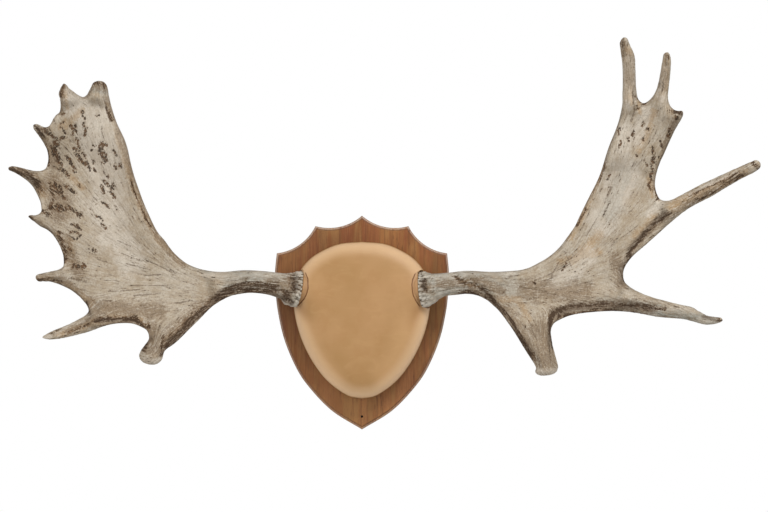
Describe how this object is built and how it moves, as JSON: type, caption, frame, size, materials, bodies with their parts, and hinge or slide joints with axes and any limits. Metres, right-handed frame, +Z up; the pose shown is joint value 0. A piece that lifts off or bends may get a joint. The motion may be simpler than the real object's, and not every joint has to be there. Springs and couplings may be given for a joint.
{
  "type": "antler mounting plaque",
  "caption": "Palmate moose antlers fixed to a leather-covered form on a shield-shaped wooden board, to hang on a wall by the back of the board.",
  "frame": {"origin": "middle of the flat back face of the board, where it meets the wall", "axes": "+X to the viewer's right along the spread of the antlers, +Y into the wall, +Z up"},
  "size_m": [1.2371, 0.2116, 0.6491],
  "materials": {
    "varnished_wood": "satin varnish over vertical grain, reddish brown",
    "tan_leather": "smooth vegetable-tanned leather, dull",
    "weathered_antler": "dry weathered antler, grey-beige with brown streaks and spots"
  },
  "bodies": {
    "root": {"shield_board": "varnished_wood", "leather_dome": "tan_leather", "left_collar": "tan_leather", "right_collar": "tan_leather", "left_antler": "weathered_antler", "right_antler": "weathered_antler"}
  },
  "joints": []
}
